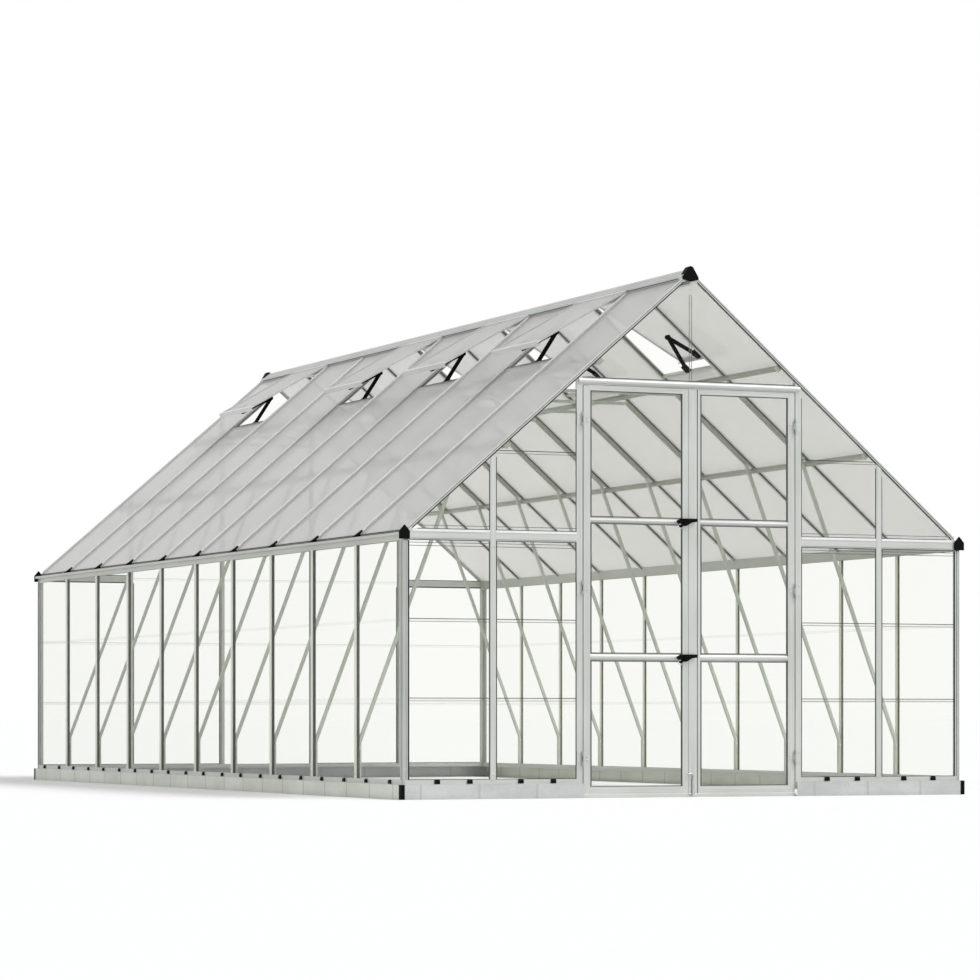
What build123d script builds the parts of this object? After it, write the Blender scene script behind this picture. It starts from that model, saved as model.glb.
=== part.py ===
"""A long ridged greenhouse on a galvanised base, with clear walls, a pale roof, two doors and open vents.

Millimetres. x runs across, y along from the door end at -y to the back at +y, and z up from the ground.
"""
import os
from math import atan2, cos, pi, radians, sin, tan

from build123d import *

os.makedirs("parts", exist_ok=True)

# One mark for each bay from the door end, with a v where it has a pair of roof vents
bay_plan = ".v.v.v..v."
bays = len(bay_plan)

# Driving sizes of the building
bay = 600.0
end_margin = 10.0
half_width = 1510.0
ridge_height = 2553.0
eave_height = 1257.0

# Galvanised base
base_height = 70.0
base_proud = 17.0
base_depth = 67.0
cover_leg = 22.0

# Extruded frame members
plate = 2.0
web = 3.0
frame_depth = 30.0
post_face = 22.0
post_back = 16.0
post_proud = 4.0
post_depth = 12.0
stud_face = 32.0
corner_leg = 33.0
sill_height = 22.0

# Sheets and the clear strips that join them
sheet = 4.0
roof_sheet = 6.0
strip_shares = (0.3755, 0.6738)
strip_face = 16.0
strip_plate = 1.5
sheet_gap = 1.0
strip_drop = 4.0

# Eaves
eave_deep = 35.0
gutter_drop = 9.0
gutter_side = 12.0
gutter_out = 18.0
rail_drop = 30.0
rail_face = 50.0
cap_thick = 12.0
cap_shoulder = 4.0
cap_peak = 34.0
cap_lift = 5.0

# Roof members, measured square to the slope
rafter_depth = 16.0
rafter_face = 24.0
rafter_back = 14.0
rafter_rib = 6.0
rib_wide = 4.0
roof_over = 8.0
clip_back = 2.0
clip_high = 10.0
edge_above = 5.0
edge_below = 16.0
edge_flange = 20.0
ridge_half = 44.0
ridge_above = 14.0
ridge_tail = 60.0
ridge_foot = 16.0
hood_rise = 30.0
hood_flat = 12.0
hood_half = 42.0
hood_drops = (5.0, 54.0, 66.0, 77.0)
hood_front = 5.0
hood_wrap = 36.0

# Inner trusses of square tube
tube = 16.0
purlin_tube = 20.0
tube_wall = 1.5
upper_purlin = 660.0
lower_purlin = 1302.0
tie_clear = 12.0
knee_clear = 4.0
foot_bend = 266.0

# Roof vents
vent_run = 600.0
vent_open = 11.25
flap_run = 566.0
flap_half = 288.0
flap_bar = 20.0
flap_thick = 10.0
flap_skirt = 16.0
sill_deep = 12.0
sill_wide = 16.0
stay_foot = (562.0, -14.0)
stay_elbow = (381.0, 38.0)
stay_head = (562.0, 84.0)
stay_wide = 20.0
stay_thick = 7.0
stay_cheek = 14.0
stay_shift = -22.0
arm_sides = 4

# Door end
stud_at = 1047.0
jamb_in = 578.0
jamb_out = 610.0
jamb_tube = 24.0
door_gap = 5.0
split_at = 38.0
split_gap = 6.0
leaf_low = 18.0
leaf_deep = 22.0
stile_wide = 36.0
meet_left = -42.0
meet_right = 54.0
bottom_rail = 35.0
top_rail = 24.0
cross_shares = (0.3417, 0.6744)
cross_faces = (36.0, 30.0)
header_drop = 16.0
header_face = 32.0
header_gap = 4.0
header_bead = 13.0
header_short = 10.0
astragal = (-10.0, 2.0)
astragal_proud = 3.0
threshold_high = 12.0
threshold_low = 4.0
threshold_deep = 48.0
back_studs = (302.0, 907.0)

# Hinges, latches and the drop bolt
hinge_out = 14.0
hinge_side = 2.0
hinge_shares = (0.0958, 0.5091, 0.9173)
pin_radius = 3.0
pin_play = 0.05
knuckle = 6.0
hinge_half = 35.0
barrel_half = 14.8
flap_reach = 28.0
latch_at = -30.0
stud_radius = 4.0
latch_near = 4.0
latch_far = 24.0
latch_boss = 15.0
latch_deep = 21.0
latch_tip = 60.0
latch_tail = 50.0
round_sides = 12
bolt_at = 12.0
bolt_radius = 6.0
bolt_low = 8.0
bolt_high = 92.0
guide_shares = (0.2, 0.75)

# Sizes that follow from those above
half_length = bay * bays / 2 + end_margin
pitch = atan2(ridge_height - eave_height, half_width)
out_x = half_width + base_proud
out_y = half_length + base_proud
in_x = out_x - base_depth
in_y = out_y - base_depth
skin_x = half_width - plate
skin_y = half_length - plate
back_x = half_width - frame_depth
back_y = half_length - frame_depth
lines = [bay * k - bay * bays / 2 for k in range(bays + 1)]
sill_top = base_height + sill_height
sill_floor = base_height + plate
eave_bottom = eave_height - eave_deep
gutter_floor = eave_height - gutter_drop
gutter_lip = gutter_floor + gutter_side
sheet_end = back_x + roof_over
rail_low = eave_height - rail_drop
rail_high = rail_low + rail_face
strip_lows = [share * eave_height for share in strip_shares]


def slope_z(x, d):
    """Height of the line d above the roof plane, at x on the right-hand slope."""
    return ridge_height - x * tan(pitch) + d / cos(pitch)


def on_slope(s, d):
    """Point s down the right-hand slope from the ridge and d above it."""
    return (s * cos(pitch) + d * sin(pitch), ridge_height - s * sin(pitch) + d * cos(pitch))


def band(x0, x1, d0, d1):
    """Strip of the right-hand slope with upright ends."""
    return [(x0, slope_z(x0, d0)), (x1, slope_z(x1, d0)), (x1, slope_z(x1, d1)), (x0, slope_z(x0, d1))]


def slab(s0, s1, d0, d1):
    """Strip of the right-hand slope with square ends."""
    return [on_slope(s0, d0), on_slope(s1, d0), on_slope(s1, d1), on_slope(s0, d1)]


def block(x0, x1, y0, y1, z0, z1):
    """Box between two corners."""
    return Pos((x0 + x1) / 2, (y0 + y1) / 2, (z0 + z1) / 2) * Box(x1 - x0, y1 - y0, z1 - z0)


def across(points, y0, y1):
    """Outline in x and z, drawn out along y."""
    outline = Polyline(*[(x, y0, z) for x, z in points], close=True)
    return extrude(make_face(outline), amount=y1 - y0, dir=(0, 1, 0))


def along_x(points, x0, x1):
    """Outline in y and z, drawn out along x."""
    outline = Polyline(*[(x0, y, z) for y, z in points], close=True)
    return extrude(make_face(outline), amount=x1 - x0, dir=(1, 0, 0))


def upright(points, z0, z1):
    """Outline in x and y, drawn upwards."""
    outline = Polyline(*[(x, y, z0) for x, y in points], close=True)
    return extrude(make_face(outline), amount=z1 - z0, dir=(0, 0, 1))


def rod_up(x, y, radius, z0, z1):
    """Round bar that stands upright."""
    return Pos(x, y, (z0 + z1) / 2) * Cylinder(radius, z1 - z0)


def rod_along(x, z, radius, y0, y1):
    """Round bar that lies along y."""
    return Pos(x, (y0 + y1) / 2, z) * Rot(X=90) * Cylinder(radius, y1 - y0)


def round_turns(sides):
    """Even turns once round."""
    return [2 * pi * k / sides for k in range(sides)]


def knob_up(x, y, radius, z0, z1):
    """Many-sided bar that stands upright."""
    return upright([(x + radius * cos(t), y + radius * sin(t)) for t in round_turns(round_sides)], z0, z1)


def knob_along(x, z, radius, y0, y1):
    """Many-sided bar that lies along y."""
    return across([(x + radius * cos(t), z + radius * sin(t)) for t in round_turns(round_sides)], y0, y1)


def to_left(pieces):
    """The same pieces on the left-hand side."""
    return [mirror(piece, about=Plane.YZ) for piece in pieces]


def to_back(pieces):
    """The same pieces at the back."""
    return [mirror(piece, about=Plane.XZ) for piece in pieces]


def save(node, pieces):
    """Write the solids of one node."""
    solids = [solid for piece in pieces for solid in piece.solids()]
    export_step(Compound(solids), os.path.join("parts", node + ".step"))


# Heights at the doors follow the slope over the jambs
header_high = slope_z(jamb_in, -edge_below) - header_drop
header_low = header_high - header_face
leaf_high = header_low - header_gap
gable_strip = slope_z(stud_at, 0) - strip_drop
cross_rails = []
for share, face in zip(cross_shares, cross_faces):
    cross_rails.append((share * leaf_high - face / 2, share * leaf_high + face / 2))
hinge_levels = [share * leaf_high for share in hinge_shares]
latch_levels = [share * leaf_high for share in cross_shares]


def under_roof(d):
    """Everything below the line d above the roof plane, as a cutter for the gables."""
    foot = slope_z(half_width, d)
    points = [(-half_width, 0), (half_width, 0), (half_width, foot)]
    points += [(0, slope_z(0, d)), (-half_width, foot)]
    return across(points, -out_y, out_y)


# Base of four channels, mitred at the corners
channel = [(0, 0), (base_depth, 0), (base_depth, plate), (plate, plate)]
channel += [(plate, base_height - plate), (base_depth, base_height - plate)]
channel += [(base_depth, base_height), (0, base_height)]
side_plan = upright([(out_x, -out_y), (out_x, out_y), (in_x, in_y), (in_x, -in_y)], 0, base_height)
base_right = across([(out_x - u, z) for u, z in channel], -out_y, out_y) & side_plan
door_end = jamb_in + plate
front_corners = [(door_end, -out_y), (out_x, -out_y), (in_x, -in_y), (door_end, -in_y)]
front_plan = upright(front_corners, 0, base_height)
base_front = along_x([(u - out_y, z) for u, z in channel], door_end, out_x) & front_plan
back_plan = upright([(-out_x, out_y), (out_x, out_y), (in_x, in_y), (-in_x, in_y)], 0, base_height)
base_back = along_x([(out_y - u, z) for u, z in channel], -out_x, out_x) & back_plan
save("base_side_rails", [base_right] + to_left([base_right]))
save("base_front_rails", [base_front] + to_left([base_front]))
save("base_back_rail", [base_back])

far_x, far_y = out_x + plate, out_y + plate
cover = [(far_x, far_y), (far_x, far_y - cover_leg), (out_x, far_y - cover_leg)]
cover += [(out_x, out_y), (far_x - cover_leg, out_y), (far_x - cover_leg, far_y)]
back_covers = [upright(cover, 0, base_height)]
back_covers += to_left(back_covers)
save("base_corner_covers", back_covers + to_back(back_covers))

step = [(-half_length, 0), (threshold_deep - half_length, 0), (threshold_deep - half_length, threshold_low)]
step_back = frame_depth - half_length
step += [(step_back, threshold_low), (step_back - threshold_low, threshold_high)]
step += [(-half_length, threshold_high)]
save("door_threshold", [along_x(step, -door_end, door_end)])

# Sill channels on the base
trough = [(0, base_height), (frame_depth, base_height), (frame_depth, sill_top)]
trough += [(frame_depth - plate, sill_top)]
trough += [(frame_depth - plate, sill_floor), (plate, sill_floor), (plate, sill_top), (0, sill_top)]
clear_x, clear_y = half_width - corner_leg, half_length - corner_leg
side_sill = across([(half_width - u, z) for u, z in trough], -clear_y, clear_y)
front_sill = along_x([(u - half_length, z) for u, z in trough], jamb_out, clear_x)
back_sill = along_x([(half_length - u, z) for u, z in trough], -clear_x, clear_x)
save("side_sills", [side_sill] + to_left([side_sill]))
save("gable_sills", [front_sill, back_sill] + to_left([front_sill]))

# Corner posts with a slot for each wall
slot = plate + sheet
inner = slot + plate
post = [(corner_leg, 0), (0, 0), (0, corner_leg), (plate, corner_leg), (plate, inner), (slot, inner)]
post += [(slot, corner_leg), (inner, corner_leg), (inner, inner), (corner_leg, inner)]
post += [(corner_leg, slot), (inner, slot), (inner, plate), (corner_leg, plate)]
corner = upright([(half_width - u, half_length - v) for u, v in post], base_height, eave_bottom)
back_corners = [corner] + to_left([corner])
save("corner_posts", back_corners + to_back(back_corners))


def bar_section(face, back):
    """I outline with a raised front: distance in from the wall face, and distance to either side."""
    raised = face / 2 - post_proud
    outline = [(-post_proud, -raised), (-post_proud, raised), (0, face / 2)]
    outline += [(plate, face / 2), (plate, web / 2)]
    outline += [(post_depth - plate, web / 2), (post_depth - plate, back / 2), (post_depth, back / 2)]
    return outline + [(u, -v) for u, v in reversed(outline[2:])]


# Side wall posts
wall_posts = []
for y in lines[1:-1]:
    outline = [(half_width - u, y + v) for u, v in bar_section(post_face, post_back)]
    wall_posts.append(upright(outline, sill_top, eave_bottom))
save("wall_posts", wall_posts + to_left(wall_posts))

# Side wall sheets and the clear strips between them
half_strip = strip_face / 2
strip_shape = [(-strip_plate, -half_strip), (0, -half_strip), (0, half_strip), (-strip_plate, half_strip)]
levels = [(sill_floor, strip_lows[0] - sheet_gap / 2)]
levels += [(strip_lows[0] + sheet_gap / 2, strip_lows[1] - sheet_gap / 2)]
top_level = strip_lows[1] + sheet_gap / 2
wall_sheets = []
wall_strips = []
for k in range(bays):
    y0 = lines[k] + web / 2 if k > 0 else slot + plate - half_length
    y1 = lines[k + 1] - web / 2 if k < bays - 1 else half_length - slot - plate
    for low, high in levels + [(top_level, gutter_floor - plate)]:
        wall_sheets.append(block(skin_x - sheet, skin_x, y0, y1, low, high))
    y0 = lines[k] + post_face / 2 if k > 0 else corner_leg - half_length
    y1 = lines[k + 1] - post_face / 2 if k < bays - 1 else half_length - corner_leg
    for level in strip_lows:
        wall_strips.append(across([(skin_x - u, level + z) for u, z in strip_shape], y0, y1))
save("wall_sheets", wall_sheets + to_left(wall_sheets))
save("wall_strips", wall_strips + to_left(wall_strips))

# Eave beams with gutters
lip_x = half_width + gutter_out
eave = block(skin_x, half_width, -half_length, half_length, eave_bottom, gutter_floor)
eave += block(back_x, lip_x, -half_length, half_length, gutter_floor - plate, gutter_floor)
eave += block(lip_x - plate, lip_x, -half_length, half_length, gutter_floor - plate, gutter_lip)
near_x = back_x + plate
inner_leg = [(back_x, eave_bottom), (near_x, eave_bottom), (near_x, slope_z(near_x, -roof_sheet))]
eave += across(inner_leg + [(back_x, slope_z(back_x, -roof_sheet))], -half_length, half_length)
save("eave_beams", [eave] + to_left([eave]))

# Gable studs, jambs and header, cut to the slope
gable_cut = under_roof(-edge_below)
studs = [[(stud_at + v, u - half_length) for u, v in bar_section(stud_face, post_back)]]
front_studs = [upright(outline, sill_top, ridge_height) & gable_cut for outline in studs]
studs = [[(x + v, half_length - u) for u, v in bar_section(stud_face, post_back)] for x in back_studs]
rear_studs = [upright(outline, sill_top, ridge_height) & gable_cut for outline in studs]
save("gable_studs", front_studs + to_left(front_studs) + rear_studs + to_left(rear_studs))

jamb_side = jamb_in + jamb_tube
jamb = block(jamb_in, jamb_out, -half_length, -skin_y, base_height, ridge_height)
jamb += block(jamb_in, jamb_side, -skin_y, -back_y, base_height, ridge_height)
jamb -= block(jamb_in + plate, jamb_side - plate, -skin_y, -back_y - plate, base_height, ridge_height)
jamb = jamb & gable_cut
save("door_jambs", [jamb] + to_left([jamb]))

glass_y = skin_y - sheet
header_mid = (header_low + header_high) / 2
header = block(-jamb_in, jamb_in, -half_length, -skin_y, header_low, header_high)
header += block(-jamb_in, jamb_in, -glass_y, plate - glass_y, header_low, header_high)
header += block(-jamb_in, jamb_in, -skin_y, -back_y, header_low, header_low + plate)
header += block(-jamb_in, jamb_in, -skin_y, -glass_y, header_mid, header_mid + plate)
bead_turns = [pi * k / 8 for k in range(9)]
bead = [(-half_length - header_bead * sin(t), header_mid + header_bead * cos(t)) for t in bead_turns]
bead_reach = jamb_out - header_short
header += along_x(bead, -bead_reach, bead_reach)
save("door_header", [header])

# Gable rails at eave height
rail_mid = (rail_low + rail_high) / 2


def gable_rail(x0, x1):
    """Rail of the front gable between two posts, with a slot above and below."""
    rail = block(x0, x1, -half_length, -skin_y, rail_low, rail_high)
    rail += block(x0, x1, -glass_y, plate - glass_y, rail_low, rail_high)
    rail += block(x0, x1, -skin_y, plate - glass_y, rail_mid - plate, rail_mid + plate)
    return rail & gable_cut


front_spans = [(jamb_out, stud_at - stud_face / 2), (stud_at + stud_face / 2, back_x)]
front_rails = [gable_rail(x0, x1) for x0, x1 in front_spans]
half_stud = stud_face / 2
rear_spans = [(back_studs[0] + half_stud, back_studs[1] - half_stud), (back_studs[1] + half_stud, back_x)]
rear_rails = to_back([gable_rail(*rear_spans[1])])
save("gable_rails", front_rails + to_left(front_rails) + rear_rails + to_left(rear_rails))

# Gable sheets, which reach into the slots of the edge rafters
sheet_cut = under_roof(-plate)
side_stop = back_x - plate / 2


def gable_sheet(x0, x1, z0, z1):
    """Clear sheet of the front gable, cut to the slope."""
    return block(x0, x1, -skin_y, -glass_y, z0, z1) & sheet_cut


def gable_column(x0, x1):
    """The sheets below and above the eave rail between two posts."""
    column = [block(x0, x1, -skin_y, -glass_y, low, high) for low, high in levels]
    return column + [block(x0, min(x1, side_stop), -skin_y, -glass_y, top_level, rail_mid - plate)]


def gable_joint(x0, x1, level):
    """Clear strip of the front gable."""
    return along_x([(u - skin_y, level + z) for u, z in strip_shape], x0, x1) & gable_cut


upper = rail_mid + plate
post_in = half_width - slot - plate
front_sheets = gable_column(jamb_side, stud_at - web / 2) + gable_column(stud_at + web / 2, post_in)
front_sheets.append(gable_sheet(jamb_side, stud_at - web / 2, upper, gable_strip - sheet_gap / 2))
front_sheets.append(gable_sheet(jamb_side, stud_at - web / 2, gable_strip + sheet_gap / 2, ridge_height))
front_sheets.append(gable_sheet(stud_at + web / 2, side_stop, upper, ridge_height))
front_sheets.append(gable_sheet(sheet_gap / 2, jamb_in, header_mid + plate, ridge_height))
save("front_gable_sheets", front_sheets + to_left(front_sheets))
front_joints = [gable_joint(x0, x1, level) for level in strip_lows for x0, x1 in
                [front_spans[0], (front_spans[1][0], half_width - corner_leg)]]
front_joints.append(gable_joint(*front_spans[0], gable_strip))
centre = [(half_strip, -strip_plate), (half_strip, 0), (-half_strip, 0), (-half_strip, -strip_plate)]
centre_low = slope_z(0, -edge_below) - ridge_tail
centre_joint = upright([(u, v - skin_y) for u, v in centre], header_high, centre_low)
front_joints += to_left(front_joints) + [centre_joint]

rear_bays = [(back_studs[0] + web / 2, back_studs[1] - web / 2), (back_studs[1] + web / 2, post_in)]
rear_sheets = []
rear_joints = []
for x0, x1 in rear_bays:
    rear_sheets += gable_column(x0, x1)
    rear_sheets.append(gable_sheet(x0, min(x1, side_stop), upper, ridge_height))
for x0, x1 in [rear_spans[0], (rear_spans[1][0], half_width - corner_leg)]:
    rear_joints += [gable_joint(x0, x1, level) for level in strip_lows]
rear_joints.append(gable_joint(*rear_spans[0], rail_mid))
middle = (web / 2 - back_studs[0], back_studs[0] - web / 2)
rear_middle = gable_column(*middle) + [gable_sheet(*middle, upper, ridge_height)]
clear_stud = back_studs[0] - half_stud
middle_joints = [gable_joint(-clear_stud, clear_stud, level) for level in strip_lows + [rail_mid]]
save("back_gable_sheets", to_back(rear_sheets + to_left(rear_sheets) + rear_middle))
save("gable_strips", front_joints + to_back(rear_joints + to_left(rear_joints) + middle_joints))

# Edge rafters of the gables
edge = across(band(0, back_x, -edge_below, edge_above), -half_length, -skin_y)
edge += across(band(ridge_half, back_x, -edge_below, plate), -glass_y, plate - glass_y)
edge += across(band(ridge_half, back_x, 0, plate), -skin_y, edge_flange - skin_y)
ledge = band(ridge_half, back_x, -roof_sheet - plate, -roof_sheet)
edge += across(ledge, plate - glass_y, edge_flange - skin_y)
edges = [edge] + to_left([edge])
save("edge_rafters", edges + to_back(edges))

# Ridge beam and its end caps
half_web = web / 2
leg_in = ridge_half - plate
peak = [(0, slope_z(0, ridge_above)), (ridge_half, slope_z(ridge_half, ridge_above))]
peak += [(ridge_half, slope_z(ridge_half, plate)), (leg_in, slope_z(leg_in, plate))]
peak += [(leg_in, slope_z(leg_in, ridge_above - plate)), (half_web, slope_z(half_web, ridge_above - plate))]
peak += [(half_web, ridge_height - ridge_tail + plate), (ridge_foot, ridge_height - ridge_tail + plate)]
peak += [(ridge_foot, ridge_height - ridge_tail)]
peak += [(-x, z) for x, z in reversed(peak[1:])]
save("ridge_beam", [across(peak, -glass_y, glass_y)])

hood_top = ridge_height + hood_rise
hood_levels = [hood_top - drop for drop in hood_drops]
hood_shape = [(0, hood_top), (hood_flat, hood_levels[0])]
hood_shape += [(hood_half, hood_levels[1]), (hood_half, hood_levels[2])]
hood_shape += [(0, hood_levels[3])] + [(-x, z) for x, z in reversed(hood_shape[1:])]
hood = across(hood_shape, -half_length - hood_front, -half_length)
hood += across(hood_shape, -half_length, hood_wrap - half_length) - under_roof(ridge_above)
save("ridge_end_caps", [hood] + to_back([hood]))

cap_in, cap_out = back_x - plate, lip_x + plate
cap_low, cap_side, cap_top = eave_bottom + cap_lift, gutter_lip + cap_shoulder, gutter_lip + cap_peak
cap_shape = [(cap_in, cap_low), (cap_out, cap_low), (cap_out, cap_side), ((cap_in + cap_out) / 2, cap_top)]
eave_cap = across(cap_shape + [(cap_in, cap_side)], -half_length - cap_thick, -half_length)
eave_caps = [eave_cap] + to_left([eave_cap])
save("eave_corner_caps", eave_caps + to_back(eave_caps))

# Rafters between the roof sheets, and the clips at their feet
rafters = []
clips = []
clip_top_x = back_x - clip_back
clip = [(clip_top_x, slope_z(clip_top_x, plate)), (sheet_end, slope_z(sheet_end, plate))]
clip += [(sheet_end, gutter_floor), (lip_x - plate, gutter_floor), (lip_x - plate, gutter_lip + plate)]
clip += [(sheet_end, slope_z(sheet_end, clip_high)), (clip_top_x, slope_z(clip_top_x, clip_high))]
half_rib = rib_wide / 2
for y in lines[1:-1]:
    wide, narrow = rafter_face / 2, rafter_back / 2
    rafter = across(band(half_web, sheet_end, 0, plate), y - wide, y + wide)
    rib = band(ridge_half + plate, clip_top_x, plate, plate + rafter_rib)
    rafter += across(rib, y - half_rib, y + half_rib)
    rafter += across(band(half_web, back_x, plate - rafter_depth, 0), y - half_web, y + half_web)
    rafter += across(band(half_web, back_x, -rafter_depth, plate - rafter_depth), y - narrow, y + narrow)
    rafters.append(rafter)
    clips.append(across(clip, y - wide, y + wide))
save("rafters", rafters + to_left(rafters))
save("rafter_foot_clips", clips + to_left(clips))

# Purlins under the rafters
purlins = []
deep = -rafter_depth - purlin_tube
half_purlin = purlin_tube / 2
core = half_purlin - tube_wall
for s in (upper_purlin, lower_purlin):
    outer = slab(s - half_purlin, s + half_purlin, deep, -rafter_depth)
    hollow = slab(s - core, s + core, deep + tube_wall, -rafter_depth - tube_wall)
    reach = glass_y - plate
    purlins.append(across(outer, -reach, reach) - across(hollow, -reach, reach))
save("purlins", purlins + to_left(purlins))


def mitred(path, half):
    """Corner pairs of a tube of this half width that follows the path, one pair at each point."""
    pairs = []
    for k, (x, z) in enumerate(path):
        before = path[k - 1] if k > 0 else None
        after = path[k + 1] if k < len(path) - 1 else None
        turns = []
        for a, b in ((before, (x, z)), ((x, z), after)):
            if a is not None and b is not None:
                turns.append(atan2(b[1] - a[1], b[0] - a[0]))
        mean = sum(turns) / len(turns)
        reach = half / cos((turns[-1] - turns[0]) / 2)
        dx, dz = reach * sin(mean), reach * cos(mean)
        pairs.append(((x - dx, z + dz), (x + dx, z - dz)))
    return pairs


# Trusses: a tie, two tubes under the rafters, two knee braces and two feet at each frame
tube_line = -rafter_depth - tube / 2
foot_x = half_width - post_depth - tube / 2
purlin_x, purlin_z = on_slope(lower_purlin, tube_line)
lean = atan2(purlin_z - foot_bend, foot_x - purlin_x) - pitch
knee_bend = lower_purlin - half_purlin - (purlin_tube + knee_clear) / tan(lean)
tie_bend = upper_purlin + half_purlin + (tube / 2 * (1 + cos(pitch)) + tie_clear) / sin(pitch)
path = [on_slope(tie_bend, tube_line), on_slope(knee_bend, tube_line)]
path += [(foot_x, foot_bend), (foot_x, sill_floor)]
path = [(-path[0][0], path[0][1])] + path
outer_pairs = mitred(path, tube / 2)
inner_pairs = mitred(path, tube / 2 - tube_wall)
mirrored = [(-x, z) for x, z in outer_pairs[1]], [(-x, z) for x, z in inner_pairs[1]]
outer_pairs[0], inner_pairs[0] = mirrored
members = [[] for leg in outer_pairs[1:]]
for y in lines[1:-1]:
    for k, member in enumerate(members):
        shell = list(outer_pairs[k]) + list(reversed(outer_pairs[k + 1]))
        core = list(inner_pairs[k]) + list(reversed(inner_pairs[k + 1]))
        bar = across(shell, y - tube / 2, y + tube / 2)
        member.append(bar - across(core, y - tube / 2 + tube_wall, y + tube / 2 - tube_wall))
for node, member in zip(("truss_tubes", "knee_braces", "brace_feet"), members[1:]):
    save(node, member + to_left(member))
save("collar_ties", members[0])

# Roof sheets, which stop short of the ridge where there is a vent
panels = []
for k in range(bays):
    y0 = lines[k] + half_web if k > 0 else plate - glass_y
    y1 = lines[k + 1] - half_web if k < bays - 1 else glass_y - plate
    top = vent_run * cos(pitch) if bay_plan[k] == "v" else half_web
    panels.append(across(band(top, sheet_end, -roof_sheet, 0), y0, y1))
save("right_roof_sheets", panels)
save("left_roof_sheets", to_left(panels))

# Vents, standing open on two-armed stays
fall = pitch - radians(vent_open)
hinge_z = slope_z(ridge_half, ridge_above - flap_thick / 2)


def on_flap(a, b):
    """Point a along an open flap from the ridge and b above its middle."""
    return (ridge_half + a * cos(fall) + b * sin(fall), hinge_z - a * sin(fall) + b * cos(fall))


def flap_bar_shape(a0, a1, half):
    """Side view of a piece of the flap."""
    return [on_flap(a0, -half), on_flap(a1, -half), on_flap(a1, half), on_flap(a0, half)]


def arm(p, q, y0, y1):
    """Flat bar with rounded ends between two points of the slope."""
    (x0, z0), (x1, z1) = on_slope(*p), on_slope(*q)
    turn = atan2(z1 - z0, x1 - x0)
    bends = [pi / 2 - pi * k / arm_sides for k in range(arm_sides + 1)]
    ends = [(x1, z1, turn + bend) for bend in bends] + [(x0, z0, turn - pi + bend) for bend in bends]
    half = stay_wide / 2
    return across([(x + half * cos(a), z + half * sin(a)) for x, z, a in ends], y0, y1)


vent_sills = []
flap_rails = []
flap_stiles = []
flap_sheets = []
stay_brackets = []
lower_arms = []
upper_arms = []
half_flap = flap_thick / 2
hook = [(ridge_half, hinge_z - half_flap), on_flap(flap_bar, -half_flap), on_flap(flap_bar, half_flap)]
hook += [(ridge_half, hinge_z + half_flap)]
head_x, head_z = on_slope(*stay_head)
head_a = (head_x - ridge_half) * cos(fall) - (head_z - hinge_z) * sin(fall)
head_b = (head_x - ridge_half) * sin(fall) + (head_z - hinge_z) * cos(fall)
thin = roof_sheet / 2
for k in [k for k in range(bays) if bay_plan[k] == "v"]:
    low, high = lines[k], lines[k + 1]
    mid = (low + high) / 2
    stay_y = mid + stay_shift
    vent_sill = across(slab(vent_run - sill_wide, vent_run, -sill_deep, 0), low + half_web, high - half_web)
    upstand = slab(vent_run - sill_wide, vent_run - sill_wide + plate, 0, thin)
    vent_sill += across(upstand, low + rafter_face / 2, high - rafter_face / 2)
    vent_sills.append(vent_sill)
    flap_rails.append(across(hook, mid - flap_half, mid + flap_half))
    low_rail = flap_bar_shape(flap_run - flap_bar, flap_run, half_flap)
    skirt = [on_flap(flap_run - plate, -half_flap), on_flap(flap_run - plate, -half_flap - flap_skirt)]
    skirt += [on_flap(flap_run, -half_flap - flap_skirt)]
    low_rail = low_rail[:1] + skirt + low_rail[2:]
    flap_rails.append(across(low_rail, mid - flap_half, mid + flap_half))
    inside = flap_half - flap_thick
    side = flap_bar_shape(flap_bar, flap_run - flap_bar, half_flap)
    flap_stiles.append(across(side, mid - flap_half, mid - inside))
    flap_stiles.append(across(side, mid + inside, mid + flap_half))
    pane = flap_bar_shape(flap_bar, flap_run - flap_bar, thin)
    flap_sheets.append(across(pane, mid - inside, mid + inside))
    foot_low, foot_high = stay_foot[1] - stay_wide / 2, stay_foot[1] + stay_wide / 2
    foot = slab(stay_foot[0] - stay_wide, vent_run - sill_wide, foot_low, foot_high)
    stay_brackets.append(across(foot, stay_y, stay_y + stay_cheek))
    stay_brackets.append(across(foot, stay_y - stay_thick - stay_cheek, stay_y - stay_thick))
    grip_low, grip_high = head_a - stay_wide, head_a + stay_wide
    grip = [on_flap(grip_low, head_b - stay_wide / 2), on_flap(grip_high, head_b - stay_wide / 2)]
    grip += [on_flap(grip_high, -thin), on_flap(grip_low, -thin)]
    stay_brackets.append(across(grip, stay_y - stay_cheek, stay_y))
    stay_brackets.append(across(grip, stay_y + stay_thick, stay_y + stay_thick + stay_cheek))
    lower_arms.append(arm(stay_foot, stay_elbow, stay_y - stay_thick, stay_y))
    upper_arms.append(arm(stay_elbow, stay_head, stay_y, stay_y + stay_thick))
save("vent_sills", vent_sills + to_left(vent_sills))
save("vent_rails", flap_rails + to_left(flap_rails))
save("vent_stiles", flap_stiles + to_left(flap_stiles))
save("vent_sheets", flap_sheets + to_left(flap_sheets))
save("vent_stay_brackets", stay_brackets + to_left(stay_brackets))
save("vent_lower_arms", lower_arms + to_left(lower_arms))
save("vent_upper_arms", upper_arms + to_left(upper_arms))

# Door leaves: hollow stiles and rails, rounded cross rails and three panes each
face_y = -half_length
leaf_back = face_y + leaf_deep
leaf_edge = jamb_in - door_gap
left_meet = (meet_left, split_at - split_gap / 2)
right_meet = (split_at + split_gap / 2, meet_right)


def stile(x0, x1):
    """Upright of a leaf, a hollow bar."""
    hollow = block(x0 + plate, x1 - plate, face_y + plate, leaf_back - plate, leaf_low, leaf_high)
    return block(x0, x1, face_y, leaf_back, leaf_low, leaf_high) - hollow


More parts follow.
